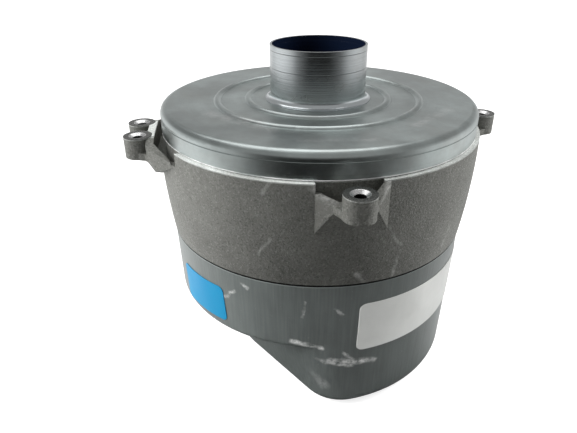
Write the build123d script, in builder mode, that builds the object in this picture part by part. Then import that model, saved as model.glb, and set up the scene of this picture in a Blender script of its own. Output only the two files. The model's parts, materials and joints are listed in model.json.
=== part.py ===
from build123d import *
import os
from math import cos, degrees, hypot, pi, radians, sin, sqrt, tan

os.makedirs("parts", exist_ok=True)

# Vacuum motor unit, spin axis on Z, inlet pipe up, resting on the deep floor of the motor cover at Z 0.
# Millimetres and degrees. Polar angles run from +X towards +Y. The front lug points along -Y.

# Driving sizes of the outside
pipe_radius = 25.4
pipe_wall = 1.2
pipe_stand = 28.1
cover_radius = 84.0
cover_sheet = 1.0
skirt_height = 12.7
skirt_gap = 0.5
rim_overhang = 2.0
housing_belly_step = 0.6
seam_overhang = 0.3
housing_height = 53.3
gasket_height = 0.8
motor_cover_height = 82.2
motor_cover_step = 1.7
motor_cover_draft = 2.8
motor_cover_wall = 2.5
shallow_floor_level = 42.0
bolt_circle_step = 12.0

# Clearances
seat_clearance = 0.02
running_clearance = 0.05
fit_clearance = 0.3
cut_overrun = 2.0

# Radii and levels that follow
housing_rim_radius = cover_radius + rim_overhang
housing_middle_radius = housing_rim_radius - housing_belly_step
motor_cover_top_radius = cover_radius - motor_cover_step
motor_cover_floor_radius = motor_cover_top_radius - motor_cover_draft
housing_seam_radius = motor_cover_top_radius + seam_overhang
bolt_circle_radius = cover_radius + bolt_circle_step
seam_level = motor_cover_height + gasket_height
rim_level = seam_level + housing_height
cover_level = rim_level + skirt_gap + skirt_height
cover_underside = cover_level - cover_sheet
pipe_top = cover_level + pipe_stand


def save(piece, name):
    piece.label = name
    export_step(piece, f"parts/{name}.step")


def polar(radius, angle):
    return (radius * cos(radians(angle)), radius * sin(radians(angle)))


def ring(inner_radius, outer_radius, low, high):
    with BuildPart() as body:
        with BuildSketch(Plane.XY.offset(low)):
            Circle(outer_radius)
            Circle(inner_radius, mode=Mode.SUBTRACT)
        extrude(amount=high - low)
    return body.part


def turned(*points):
    with BuildPart() as body:
        with BuildSketch(Plane.XZ):
            with BuildLine():
                Polyline(*points, close=True)
            make_face()
        revolve(axis=Axis.Z)
    return body.part


def sector(inner_radius, outer_radius, start, span):
    with BuildSketch() as plan:
        with BuildLine():
            inner_arc = CenterArc((0, 0), inner_radius, start, span)
            outer_arc = CenterArc((0, 0), outer_radius, start, span)
            Line(inner_arc @ 0, outer_arc @ 0)
            Line(inner_arc @ 1, outer_arc @ 1)
        make_face()
    return plan.sketch


# Inlet cover: drawn sheet with two round beads, a rounded shoulder and a skirt
bead_radii = (54.05, 37.55)
bead_width = 4.1
bead_height = 1.2
shoulder_radius = 3.6
roll_line_drop = 4.7
roll_line_radius = 0.3
hem_radius = 0.4

bead_arc = (bead_height**2 + (bead_width / 2) ** 2) / (2 * bead_height)
bead_centre = cover_level + bead_height - bead_arc
skirt_level = rim_level + skirt_gap


with BuildPart() as inlet_cover:
    with BuildSketch(Plane.XZ) as cover_profile:
        with BuildLine():
            Polyline(
                (pipe_radius + seat_clearance, cover_level),
                (cover_radius, cover_level),
                (cover_radius, skirt_level),
                (cover_radius - cover_sheet, skirt_level),
                (cover_radius - cover_sheet, cover_underside),
                (pipe_radius + seat_clearance, cover_underside),
                close=True,
            )
        make_face()
        with Locations(*[(radius, bead_centre) for radius in bead_radii]):
            Circle(bead_arc)
        for radius in bead_radii:
            with Locations((radius, bead_centre)):
                Circle(bead_arc - cover_sheet, mode=Mode.SUBTRACT)
            with Locations((radius, cover_underside - bead_arc)):
                Rectangle(2 * bead_arc, 2 * bead_arc, mode=Mode.SUBTRACT)
        with Locations((cover_radius, cover_level - roll_line_drop)):
            Circle(roll_line_radius, mode=Mode.SUBTRACT)
    revolve(axis=Axis.Z)
    shoulder = inlet_cover.edges().filter_by(GeomType.CIRCLE).filter_by(
        lambda edge: abs(edge.radius - cover_radius) < hem_radius and abs(edge.center().Z - cover_level) < hem_radius
    )
    fillet(shoulder, shoulder_radius)
    inner_corner = inlet_cover.edges().filter_by(GeomType.CIRCLE).filter_by(
        lambda edge: abs(edge.radius - cover_radius + cover_sheet) < hem_radius
        and abs(edge.center().Z - cover_underside) < hem_radius
    )
    fillet(inner_corner, shoulder_radius - cover_sheet)
save(inlet_cover.part, "inlet_cover")

# Inlet pipe: tube through the cover with a rolled foot above and a lip below
pipe_foot_radius = 2.8
pipe_foot_edge = 0.3
pipe_tail = 1.4
pipe_lip_width = 2.0
pipe_lip_height = 0.8

pipe_bore_radius = pipe_radius - pipe_wall
pipe_bottom = cover_underside - pipe_tail
foot_base = cover_level + seat_clearance
lip_radius = pipe_radius + pipe_lip_width

with BuildPart() as inlet_pipe:
    with BuildSketch(Plane.XZ):
        with BuildLine():
            Polyline(
                (pipe_radius, foot_base + pipe_foot_edge + pipe_foot_radius),
                (pipe_radius, pipe_top),
                (pipe_bore_radius, pipe_top),
                (pipe_bore_radius, pipe_bottom),
                (pipe_radius, pipe_bottom),
                (lip_radius, pipe_bottom),
                (lip_radius, pipe_bottom + pipe_lip_height),
                (pipe_radius, pipe_bottom + pipe_lip_height),
                (pipe_radius, foot_base),
                (pipe_radius + pipe_foot_radius, foot_base),
                (pipe_radius + pipe_foot_radius, foot_base + pipe_foot_edge),
            )
            RadiusArc(
                (pipe_radius + pipe_foot_radius, foot_base + pipe_foot_edge),
                (pipe_radius, foot_base + pipe_foot_edge + pipe_foot_radius),
                pipe_foot_radius,
            )
        make_face()
    revolve(axis=Axis.Z)
save(inlet_pipe.part, "inlet_pipe")

# Chamber sizes that the housing, fans and stage plate share
chamber_ledge = 3.3
register_clearance = 0.4
deck_level = 102.0
deck_thickness = 4.0
register_drop = 2.5
register_radius = cover_radius - cover_sheet - register_clearance
chamber_radius = register_radius - chamber_ledge
register_top = cover_underside - register_drop
deck_underside = deck_level - deck_thickness

# Upper bearing pocket in the housing hub
upper_bore = 12.0
upper_outer = 32.0
upper_width = 10.0
hub_wall = 4.5
hub_tail = 1.5
shaft_hole_radius = 9.0
hub_radius = upper_outer / 2 + hub_wall
hub_bottom = deck_underside - upper_width - hub_tail

# Motor sizes that the housing posts follow
stator_radius = 46.0
stator_flat = 40.0
stator_low = 44.0
stator_height = 32.0
stator_high = stator_low + stator_height
stator_screw_radius = 39.0

# Fan housing: cast cup with a spoked deck, bearing hub, posts and lugs
tongue_wall = 2.0
tongue_drop = 3.5
window_inner_radius = 50.0
window_inset = 7.3
window_count = 12
window_angle = 18.0
window_pitch = 360 / window_count
window_margin = (window_pitch - window_angle) / 2
window_outer_radius = chamber_radius - window_inset
cover_screw_inset = 11.3
cover_screw_circle = chamber_radius - cover_screw_inset
cover_screw_angles = (-150.0, 120.0, 30.0)
post_radius = 4.6
stator_post_radius = 5.4
screw_core_radius = 1.65
cover_thread_depth = 18.0
stator_thread_depth = 14.0

lip_inner_radius = motor_cover_top_radius - motor_cover_wall
tongue_radius = lip_inner_radius - fit_clearance
housing_inner_radius = tongue_radius - tongue_wall
shallow_floor_top = shallow_floor_level + motor_cover_wall

with BuildPart() as housing_cup:
    with BuildSketch(Plane.XZ):
        with BuildLine():
            Polyline(
                (housing_rim_radius, rim_level),
                (register_radius, rim_level),
                (register_radius, register_top),
                (chamber_radius, register_top),
                (chamber_radius, deck_level),
                (shaft_hole_radius, deck_level),
                (shaft_hole_radius, deck_underside),
                (upper_outer / 2 + seat_clearance, deck_underside),
                (upper_outer / 2 + seat_clearance, hub_bottom),
                (hub_radius, hub_bottom),
                (hub_radius, deck_underside),
                (housing_inner_radius, deck_underside),
                (housing_inner_radius, seam_level - tongue_drop),
                (tongue_radius, seam_level - tongue_drop),
                (tongue_radius, seam_level),
                (housing_seam_radius, seam_level),
            )
            ThreePointArc(
                (housing_seam_radius, seam_level),
                (housing_middle_radius, (seam_level + rim_level) / 2),
                (housing_rim_radius, rim_level),
            )
        make_face()
    revolve(axis=Axis.Z)

# Lugs: tapped bosses carried by flared walls with an open pocket behind
boss_radius = 7.2
boss_height = 11.0
thread_core_radius = 2.5
thread_mouth_radius = 4.4
mouth_depth = 1.3
lug_root_drop = 23.8
lug_ramp_step = 1.4
lug_ramp_run = 6.4
web_drop = 7.2
web_bend_step = 1.5
root_step_left = 4.4
root_step_right = 0.4
single_root_half = 16.0
single_bend_half = 9.6
pocket_wall = 2.6
pocket_depth = 10.4
pair_half_spacing = 11.0
pair_root_half = 38.5
pair_waist_half = 26.0
pair_bend_half = 19.6
pair_root_inset = 9.1
pair_waist_step = 3.4
pair_root_drop = 7.1
pair_base_drop = 17.0
pair_notch_half = 40.5
pair_pocket_half = 33.0
pair_crest_half = 12.0
pair_low_half = 22.0
fin_inner_step = 3.7
fin_outer_step = 0.3
lug_reach = bolt_circle_radius + boss_radius
lug_sink = 0.8
pair_sink = 3.0

lug_ramp_inner_radius = housing_rim_radius - lug_ramp_step
lug_ramp_outer_radius = lug_ramp_inner_radius + lug_ramp_run
web_bend_radius = lug_ramp_outer_radius + web_bend_step
pair_root_radial = housing_rim_radius - pair_root_inset
pair_waist_radial = lug_ramp_outer_radius - pair_waist_step
fin_inner_radius = lug_ramp_outer_radius - fin_inner_step
fin_outer_radius = lug_ramp_outer_radius + fin_outer_step
boss_bottom = rim_level - boss_height
lug_bottom = rim_level - lug_root_drop
pair_bottom = rim_level - pair_base_drop
web_level = rim_level - web_drop
pocket_floor = rim_level - pocket_depth
lug_root_radius = register_radius + lug_sink
pocket_inner_radius = register_radius + fit_clearance
plane_side = Plane.XZ
plane_end = Plane.YZ


def lug_side_keep(half_width, bottom):
    with BuildPart() as keep:
        with BuildSketch(plane_side.offset(-half_width)):
            with BuildLine():
                Polyline(
                    (0, rim_level),
                    (lug_reach + cut_overrun, rim_level),
                    (lug_reach + cut_overrun, boss_bottom),
                    (lug_ramp_outer_radius, boss_bottom),
                    (lug_ramp_inner_radius, bottom),
                    (0, bottom),
                    close=True,
                )
            make_face()
        extrude(amount=2 * half_width)
    return keep.part


def wing_top_cut(root_step, towards):
    with BuildPart() as cut:
        with BuildSketch(plane_side):
            with BuildLine():
                Polyline(
                    (0, rim_level + cut_overrun),
                    (0, rim_level - root_step),
                    (lug_ramp_inner_radius, rim_level - root_step),
                    (web_bend_radius, web_level),
                    (lug_reach + cut_overrun, web_level),
                    (lug_reach + cut_overrun, rim_level + cut_overrun),
                    close=True,
                )
            make_face()
        extrude(amount=-towards * (single_root_half + cut_overrun))
    return cut.part


def bosses(spots, grow=0.0):
    with BuildPart() as body:
        with BuildSketch(Plane.XY.offset(boss_bottom)):
            with Locations(*spots):
                Circle(boss_radius + grow)
        extrude(amount=boss_height)
    return body.part


with BuildPart() as single_lug:
    with BuildSketch(Plane.XY.offset(lug_bottom)):
        with BuildLine():
            Polyline(
                (lug_root_radius, -single_root_half),
                (lug_ramp_inner_radius + pocket_wall / 4, -single_root_half),
                (lug_ramp_outer_radius, -single_bend_half),
                (bolt_circle_radius, -boss_radius),
                (bolt_circle_radius, boss_radius),
                (lug_ramp_outer_radius, single_bend_half),
                (lug_ramp_inner_radius + pocket_wall / 4, single_root_half),
                (lug_root_radius, single_root_half),
                close=True,
            )
        make_face()
    extrude(amount=lug_root_drop)
    add(lug_side_keep(single_root_half + cut_overrun, lug_bottom), mode=Mode.INTERSECT)
    add(wing_top_cut(root_step_left, -1), mode=Mode.SUBTRACT)
    add(wing_top_cut(root_step_right, 1), mode=Mode.SUBTRACT)
    add(bosses([(bolt_circle_radius, 0)]))

with BuildPart() as single_pocket:
    with BuildSketch(Plane.XY.offset(pocket_floor)):
        with BuildLine():
            Polyline(
                (0, -single_root_half + pocket_wall),
                (lug_ramp_inner_radius, -single_root_half + pocket_wall),
                (lug_ramp_outer_radius - pocket_wall / 2, -single_bend_half + pocket_wall),
                (lug_ramp_outer_radius - pocket_wall / 2, single_bend_half - pocket_wall),
                (lug_ramp_inner_radius, single_root_half - pocket_wall),
                (0, single_root_half - pocket_wall),
                close=True,
            )
        make_face()
        Circle(pocket_inner_radius, mode=Mode.SUBTRACT)
        with Locations((bolt_circle_radius, 0)):
            Circle(boss_radius, mode=Mode.SUBTRACT)
    extrude(amount=pocket_depth + cut_overrun)
    with BuildSketch(Plane.XY.offset(rim_level - root_step_left)):
        with BuildLine():
            Polyline(
                (0, -single_root_half),
                (housing_rim_radius + cut_overrun, -single_root_half),
                (housing_rim_radius + cut_overrun, 0),
                (0, 0),
                close=True,
            )
        make_face()
        Circle(pocket_inner_radius, mode=Mode.SUBTRACT)
        with Locations((bolt_circle_radius, 0)):
            Circle(boss_radius, mode=Mode.SUBTRACT)
    extrude(amount=root_step_left + cut_overrun)

with BuildPart() as pair_lug:
    with BuildSketch(Plane.XY.offset(pair_bottom)):
        with BuildLine():
            Polyline(
                (pair_root_radial - pair_sink, -pair_root_half),
                (pair_root_radial, -pair_root_half),
                (pair_waist_radial, -pair_waist_half),
                (web_bend_radius, -pair_bend_half),
                (bolt_circle_radius, -pair_half_spacing - boss_radius),
                (bolt_circle_radius, pair_half_spacing + boss_radius),
                (web_bend_radius, pair_bend_half),
                (pair_waist_radial, pair_waist_half),
                (pair_root_radial, pair_root_half),
                (pair_root_radial - pair_sink, pair_root_half),
                close=True,
            )
        make_face()
        with Locations((bolt_circle_radius, 0)):
            Rectangle(2 * boss_radius, 2 * pair_half_spacing)
        Circle(register_radius - cut_overrun / 2, mode=Mode.SUBTRACT)
    extrude(amount=pair_base_drop)
    add(lug_side_keep(pair_root_half + cut_overrun, pair_bottom), mode=Mode.INTERSECT)
    with BuildSketch(plane_end):
        with BuildLine():
            Polyline(
                (-pair_root_half - cut_overrun, rim_level - pair_root_drop),
                (-pair_crest_half, rim_level),
                (pair_crest_half, rim_level),
                (pair_root_half + cut_overrun, rim_level - pair_root_drop),
                (pair_low_half, pair_bottom),
                (-pair_low_half, pair_bottom),
                close=True,
            )
        make_face()
    extrude(amount=lug_reach + cut_overrun, mode=Mode.INTERSECT)
    with BuildSketch(Plane.XY.offset(web_level)):
        with Locations((fin_outer_radius + lug_reach / 2, 0)):
            Rectangle(lug_reach, 2 * pair_root_half)
    extrude(amount=web_drop, mode=Mode.SUBTRACT)
    add(bosses([(bolt_circle_radius, -pair_half_spacing), (bolt_circle_radius, pair_half_spacing)]))

with BuildPart() as pair_pocket:
    with BuildSketch(Plane.XY.offset(pocket_floor)):
        with BuildLine():
            Polyline(
                (0, -pair_pocket_half),
                (pair_root_radial + pocket_wall, -pair_pocket_half),
                (fin_inner_radius, -pair_bend_half),
                (fin_inner_radius, pair_bend_half),
                (pair_root_radial + pocket_wall, pair_pocket_half),
                (0, pair_pocket_half),
                close=True,
            )
        make_face()
        Circle(pocket_inner_radius, mode=Mode.SUBTRACT)
    extrude(amount=pocket_depth + cut_overrun)
    with BuildSketch(Plane.XY.offset(rim_level - pair_root_drop)):
        with BuildLine():
            Polyline(
                (0, -pair_notch_half),
                (pair_root_radial, -pair_notch_half),
                (pair_root_radial + pocket_wall, -pair_pocket_half),
                (pair_root_radial + pocket_wall, pair_pocket_half),
                (pair_root_radial, pair_notch_half),
                (0, pair_notch_half),
                close=True,
            )
        make_face()
        Circle(pocket_inner_radius, mode=Mode.SUBTRACT)
    extrude(amount=pair_root_drop + cut_overrun)

single_lug_angles = (-90.0, 0.0, 90.0)
pair_lug_angle = 180.0
boss_spots = [polar(bolt_circle_radius, angle) for angle in single_lug_angles]
boss_spots += [(-bolt_circle_radius, -pair_half_spacing), (-bolt_circle_radius, pair_half_spacing)]
cover_post_spots = [polar(cover_screw_circle, angle) for angle in cover_screw_angles]
stator_screw_spots = [(-stator_screw_radius, 0), (stator_screw_radius, 0)]

with BuildPart() as fan_housing:
    add(housing_cup.part)
    for angle in single_lug_angles:
        add(single_lug.part.rotate(Axis.Z, angle))
    add(pair_lug.part.rotate(Axis.Z, pair_lug_angle))
    for angle in single_lug_angles:
        add(single_pocket.part.rotate(Axis.Z, angle), mode=Mode.SUBTRACT)
    add(pair_pocket.part.rotate(Axis.Z, pair_lug_angle), mode=Mode.SUBTRACT)
    with BuildSketch(Plane.XY.offset(deck_underside)):
        for turn in range(window_count):
            add(sector(window_inner_radius, window_outer_radius, turn * window_pitch + window_margin, window_angle))
    extrude(amount=deck_thickness, mode=Mode.SUBTRACT)
    with BuildSketch(Plane.XY.offset(shallow_floor_top + seat_clearance)):
        with Locations(*cover_post_spots):
            Circle(post_radius)
    extrude(amount=deck_underside - shallow_floor_top - seat_clearance)
    with BuildSketch(Plane.XY.offset(stator_high + seat_clearance)):
        with Locations(*stator_screw_spots):
            Circle(stator_post_radius)
    extrude(amount=deck_underside - stator_high - seat_clearance)
    with BuildSketch(Plane.XY.offset(shallow_floor_top)):
        with Locations(*cover_post_spots):
            Circle(screw_core_radius)
    extrude(amount=cover_thread_depth, mode=Mode.SUBTRACT)
    with BuildSketch(Plane.XY.offset(stator_high)):
        with Locations(*stator_screw_spots):
            Circle(screw_core_radius)
    extrude(amount=stator_thread_depth, mode=Mode.SUBTRACT)
    with BuildSketch(Plane.XY.offset(boss_bottom)):
        with Locations(*boss_spots):
            Circle(thread_core_radius)
    extrude(amount=boss_height, mode=Mode.SUBTRACT)
    with Locations(*[(x, y, rim_level - mouth_depth / 2) for x, y in boss_spots]):
        Cone(thread_core_radius, thread_mouth_radius, mouth_depth, mode=Mode.SUBTRACT)
save(fan_housing.part, "fan_housing")

# Motor cover: moulded cup with a shallow floor, a deep dome round the motor and a bulge out to the wall
dome_floor_radius = 47.7
dome_draft = 12.0
bulge_direction = -52.8
bulge_splay = 5.2
bulge_corner_radius = 24.0
floor_edge_radius = 9.6
shallow_edge_radius = 5.0
cover_screw_hole = 2.2
vent_width = 3.4
vent_length = 15.0
vent_circle_inset = 11.5
vent_circle = motor_cover_floor_radius - vent_circle_inset
vent_step = 6.0
vent_starts = (-136.0, 166.0, 136.0, 44.0)
vent_count = 4
grommet_level = 62.0
grommet_hole_radius = 7.5

edge_band = 0.5


def cone_radius(level):
    rise = (motor_cover_top_radius - motor_cover_floor_radius) / motor_cover_height
    return motor_cover_floor_radius + rise * level


def cone_between(inset, low, high):
    with BuildPart() as body:
        with BuildSketch(Plane.XZ):
            with BuildLine():
                Polyline(
                    (0, low),
                    (cone_radius(low) - inset, low),
                    (cone_radius(high) - inset, high),
                    (0, high),
                    close=True,
                )
            make_face()
        revolve(axis=Axis.Z)
    return body


def bulge_form(inset):
    plan_radius = dome_floor_radius - inset
    reach = motor_cover_top_radius + plan_radius
    height = shallow_floor_level + shallow_edge_radius + edge_band
    outline = [(0, 0)]
    for side in (1, -1):
        edge_direction = bulge_direction + side * bulge_splay
        touch = polar(plan_radius, edge_direction + side * 90)
        far = polar(reach, edge_direction)
        ends = [touch, (touch[0] + far[0], touch[1] + far[1])]
        outline += ends[::side]
    with BuildPart() as bulge:
        with BuildSketch():
            Circle(plan_radius)
            with BuildLine():
                Polyline(*outline, close=True)
            make_face()
        extrude(amount=height, taper=-dome_draft)
        add(cone_between(inset, inset, height).part, mode=Mode.INTERSECT)
        wall_corners = bulge.edges().filter_by(
            lambda edge: abs((edge @ 0).Z - (edge @ 1).Z) > height / 2
            and hypot(edge.center().X, edge.center().Y) > cone_radius(0) - inset - edge_band
        )
        fillet(wall_corners, bulge_corner_radius - inset)
        fillet(bulge.edges().group_by(Axis.Z)[0], floor_edge_radius - inset)
    return bulge.part


def cover_form(inset, top):
    shallow = shallow_floor_level + inset
    cup = cone_between(inset, shallow, top)
    with cup:
        fillet(cup.edges().group_by(Axis.Z)[0], shallow_edge_radius - inset)
    with BuildPart() as form:
        add(cup.part)
        add(bulge_form(inset))
    return form.part


grommet_axis = Plane.XZ.offset(-motor_cover_floor_radius + vent_length)
vent_angles = [start + step * vent_step for start in vent_starts for step in range(vent_count)]

with BuildPart() as motor_cover:
    add(cover_form(0, motor_cover_height))
    add(cover_form(motor_cover_wall, motor_cover_height + cut_overrun), mode=Mode.SUBTRACT)
    with BuildSketch(Plane.XY.offset(shallow_floor_level)):
        with Locations(*cover_post_spots):
            Circle(cover_screw_hole)
        for angle in vent_angles:
            with Locations(Location((*polar(vent_circle, angle), 0), (0, 0, angle))):
                SlotOverall(vent_length, vent_width)
    extrude(amount=motor_cover_wall, mode=Mode.SUBTRACT)
    with BuildSketch(grommet_axis):
        with Locations((0, grommet_level)):
            Circle(grommet_hole_radius)
    extrude(amount=-2 * vent_length, mode=Mode.SUBTRACT)
save(motor_cover.part, "motor_cover")

# Motor cover screws: pan heads under the shallow floor, threads in the housing posts
cover_screw_radius = 1.6
cover_head_radius = 3.7
cover_head_height = 2.6
cover_screw_grip = 14.0
drive_width = 1.0
drive_depth = 1.2


def screw(spots, head_low, head_radius, head_height, shank_radius, shank_length):
    with BuildPart() as body:
        with BuildSketch(Plane.XY.offset(head_low)):
            with Locations(*spots):
                Circle(head_radius)
        extrude(amount=head_height)
        with BuildSketch(Plane.XY.offset(head_low + head_height)):
            with Locations(*spots):
                Circle(shank_radius)
        extrude(amount=shank_length)
        with BuildSketch(Plane.XY.offset(head_low)):
            with Locations(*spots):
                Rectangle(head_radius, drive_width)
                Rectangle(drive_width, head_radius)
        extrude(amount=drive_depth, mode=Mode.SUBTRACT)
    return body.part


cover_head_low = shallow_floor_level - seat_clearance - cover_head_height
save(
    screw(
        cover_post_spots,
        cover_head_low,
        cover_head_radius,
        cover_head_height,
        cover_screw_radius,
        motor_cover_wall + cover_screw_grip,
    ),
    "cover_screws",
)

# Gaskets: rubber rings at the casting seam and under the inlet cover
gasket_recess = 0.4
cover_gasket_inset = 0.3
cover_gasket_lip = 0.4
cover_gasket_face = 1.3

save(
    ring(
        tongue_radius + seat_clearance,
        motor_cover_top_radius - gasket_recess,
        motor_cover_height + seat_clearance,
        seam_level - seat_clearance,
    ),
    "seam_gasket",
)
save(
    turned(
        (chamber_radius + cover_gasket_inset, register_top + seat_clearance),
        (register_radius - cover_gasket_inset, register_top + seat_clearance),
        (register_radius - cover_gasket_inset, register_top + cover_gasket_lip),
        (chamber_radius + cover_gasket_inset + cover_gasket_face, cover_underside - seat_clearance),
        (chamber_radius + cover_gasket_inset, cover_underside - seat_clearance),
    ),
    "cover_gasket",
)

# Labels: thin curved plates with rounded corners on the motor cover's wall
label_thickness = 0.3
label_seat = 0.06
white_label_low = 41.5
white_label_height = 29.3
white_label_start = -84.5
white_label_span = 66.0
white_label_tilt = 0.6
label_tilt_room = 2.0
blue_label_low = 48.2
blue_label_height = 21.0
blue_label_start = -160.0
blue_label_span = 25.6
blue_label_tilt = 3.0
label_corner_radius = 3.0


def label(low, height, start, span, tilt):
    bottom = low - label_tilt_room
    top = low + height + label_tilt_room
    middle = start + span / 2
    width = 2 * motor_cover_top_radius * sin(radians(span / 2))
    face = Plane(origin=(0, 0, low + height / 2), x_dir=(-sin(radians(middle)), cos(radians(middle)), 0),
                 z_dir=(cos(radians(middle)), sin(radians(middle)), 0))
    with BuildPart() as body:
        with BuildSketch(Plane.XZ):
            with BuildLine():
                Polyline(
                    (cone_radius(bottom) + label_seat, bottom),
                    (cone_radius(bottom) + label_thickness, bottom),
                    (cone_radius(top) + label_thickness, top),
                    (cone_radius(top) + label_seat, top),
                    close=True,
                )
            make_face()
        revolve(axis=Axis.Z)
        with BuildSketch(face):
            RectangleRounded(width, height, label_corner_radius, rotation=tilt)
        extrude(amount=motor_cover_top_radius + cut_overrun, mode=Mode.INTERSECT)
    return body.part


save(
    label(white_label_low, white_label_height, white_label_start, white_label_span, white_label_tilt),
    "white_label",
)
save(label(blue_label_low, blue_label_height, blue_label_start, blue_label_span, blue_label_tilt), "blue_label")

# Rotating stack above the upper bearing: sleeve, washers, two fans, a spacer and a nut
fan_tip_gap = 5.3
fan_radius = chamber_radius - fan_tip_gap
fan_eye_radius = 24.0
fan_sheet = 1.0
vane_count = 9
vane_sheet = 1.0
vane_start_radius = 27.0
vane_tip_inset = 0.6
vane_middle_sweep = -22.0
vane_tip_sweep = -52.0
first_vane_height = 14.0
second_vane_height = 11.0
second_fan_gap = 2.4
stage_gap = 1.6
fan_shaft_radius = 5.0
washer_radius = 14.0
washer_thickness = 1.2
spacer_radius = 8.5
nut_across_flats = 13.0
nut_height = 6.5

second_fan_low = deck_level + second_fan_gap
second_fan_high = second_fan_low + 2 * fan_sheet + second_vane_height
fan_bore_radius = fan_shaft_radius + seat_clearance


def fan(low, vane_height):
    middle_radius = (vane_start_radius + fan_radius) / 2
    with BuildSketch() as vane:
        with BuildLine() as vane_line:
            ThreePointArc(
                (vane_start_radius, 0),
                polar(middle_radius, vane_middle_sweep),
                polar(fan_radius - vane_tip_inset, vane_tip_sweep),
            )
        trace(vane_line.line, vane_sheet)
    with BuildPart() as body:
        with BuildSketch(Plane.XY.offset(low)):
            Circle(fan_radius)
            Circle(fan_bore_radius, mode=Mode.SUBTRACT)
        extrude(amount=fan_sheet)
        with BuildSketch(Plane.XY.offset(low + fan_sheet)):
            for turn in range(vane_count):
                add(vane.sketch.rotate(Axis.Z, turn * 360 / vane_count))
        extrude(amount=vane_height)
        with BuildSketch(Plane.XY.offset(low + fan_sheet + vane_height)):
            Circle(fan_radius)
            Circle(fan_eye_radius, mode=Mode.SUBTRACT)
        extrude(amount=fan_sheet)
    return body.part


save(fan(second_fan_low, second_vane_height), "second_fan")

# Stage plate: fixed disc pair that leads the air from the first fan back to the eye of the second
stage_plate_sheet = 1.4
stage_vane_height = 6.0
stage_vane_count = 12
stage_top_inset = 6.8
stage_top_radius = chamber_radius - stage_top_inset
stage_hub_clearance = 0.5
stage_edge_clearance = 0.15
stage_foot_radius = 2.2
stage_foot_count = 6
stage_vane_inner = 25.0
stage_vane_sweep = 40.0

stage_low = second_fan_high + stage_gap
stage_high = stage_low + 2 * stage_plate_sheet + stage_vane_height
stage_edge_radius = chamber_radius - stage_edge_clearance

with BuildSketch() as stage_vane:
    with BuildLine() as stage_line:
        ThreePointArc(
            (stage_vane_inner, 0),
            polar((stage_vane_inner + stage_top_radius) / 2, stage_vane_sweep / 3),
            polar(stage_top_radius - vane_tip_inset, stage_vane_sweep),
        )
    trace(stage_line.line, vane_sheet)

with BuildPart() as stage_plate:
    with BuildSketch(Plane.XY.offset(stage_low)):
        Circle(stage_edge_radius)
        Circle(fan_eye_radius, mode=Mode.SUBTRACT)
    extrude(amount=stage_plate_sheet)
    with BuildSketch(Plane.XY.offset(stage_low + stage_plate_sheet)):
        for turn in range(stage_vane_count):
            add(stage_vane.sketch.rotate(Axis.Z, turn * 360 / stage_vane_count))
    extrude(amount=stage_vane_height)
    with BuildSketch(Plane.XY.offset(stage_high - stage_plate_sheet)):
        Circle(stage_top_radius)
        Circle(spacer_radius + stage_hub_clearance, mode=Mode.SUBTRACT)
    extrude(amount=stage_plate_sheet)
    with BuildSketch(Plane.XY.offset(deck_level + seat_clearance)):
        with PolarLocations(stage_edge_radius - stage_foot_radius - fit_clearance, stage_foot_count):
            Circle(stage_foot_radius)
    extrude(amount=stage_low - deck_level)
save(stage_plate.part, "stage_plate")

first_fan_low = stage_high + stage_gap
first_fan_back = first_fan_low + fan_sheet
save(fan(first_fan_low, first_vane_height), "first_fan")

# Shaft, from its lower end up
lower_bore = 8.0
lower_outer = 22.0
lower_width = 7.0
hub_floor_level = 5.0
hub_floor = 2.0
shaft_end_gap = 0.5
armature_shaft_radius = 6.0
collar_radius = 7.6
collar_height = 3.0
thread_reach = 2.5

lower_bearing_low = hub_floor_level + hub_floor
shaft_bottom = lower_bearing_low + shaft_end_gap
lower_bearing_high = lower_bearing_low + lower_width
upper_bearing_low = deck_underside - upper_width
upper_race_radius = upper_bore / 2 - seat_clearance
nut_low = first_fan_back + washer_thickness + 2 * seat_clearance
shaft_top = nut_low + nut_height + thread_reach
shaft_step = deck_underside
armature_low = stator_low
armature_high = stator_high

save(
    turned(
        (0, shaft_bottom),
        (lower_bore / 2 - seat_clearance, shaft_bottom),
        (lower_bore / 2 - seat_clearance, lower_bearing_high + seat_clearance),
        (armature_shaft_radius, lower_bearing_high + seat_clearance),
        (armature_shaft_radius, upper_bearing_low - collar_height),
        (collar_radius, upper_bearing_low - collar_height),
        (collar_radius, upper_bearing_low - seat_clearance),
        (upper_race_radius, upper_bearing_low - seat_clearance),
        (upper_race_radius, shaft_step),
        (fan_shaft_radius, shaft_step),
        (fan_shaft_radius, shaft_top),
        (0, shaft_top),
    ),
    "shaft",
)

washer_levels = (
    second_fan_low - washer_thickness - seat_clearance,
    second_fan_low + fan_sheet + seat_clearance,
    first_fan_low - washer_thickness - seat_clearance,
    first_fan_back + seat_clearance,
)

with BuildPart() as fan_washers:
    for level in washer_levels:
        with BuildSketch(Plane.XY.offset(level)):
            Circle(washer_radius)
            Circle(fan_bore_radius, mode=Mode.SUBTRACT)
        extrude(amount=washer_thickness)
save(fan_washers.part, "fan_washers")

sleeve_radius = 8.0
sleeve_low = shaft_step + seat_clearance
sleeve_high = washer_levels[0] - seat_clearance
spacer_low = washer_levels[1] + washer_thickness + seat_clearance
spacer_high = washer_levels[2] - seat_clearance
save(ring(fan_bore_radius, sleeve_radius, sleeve_low, sleeve_high), "shaft_sleeve")
save(ring(fan_bore_radius, spacer_radius, spacer_low, spacer_high), "fan_spacer")

with BuildPart() as shaft_nut:
    with BuildSketch(Plane.XY.offset(nut_low)):
        RegularPolygon(nut_across_flats / 2, 6, major_radius=False)
        Circle(fan_bore_radius, mode=Mode.SUBTRACT)
    extrude(amount=nut_height)
save(shaft_nut.part, "shaft_nut")

# Shaft seal: felt washer on the deck round the sleeve
seal_radius = 13.0
seal_height = 0.9
save(ring(sleeve_radius + fit_clearance, seal_radius, deck_level + seat_clearance, deck_level + seal_height), "shaft_seal")

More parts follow.
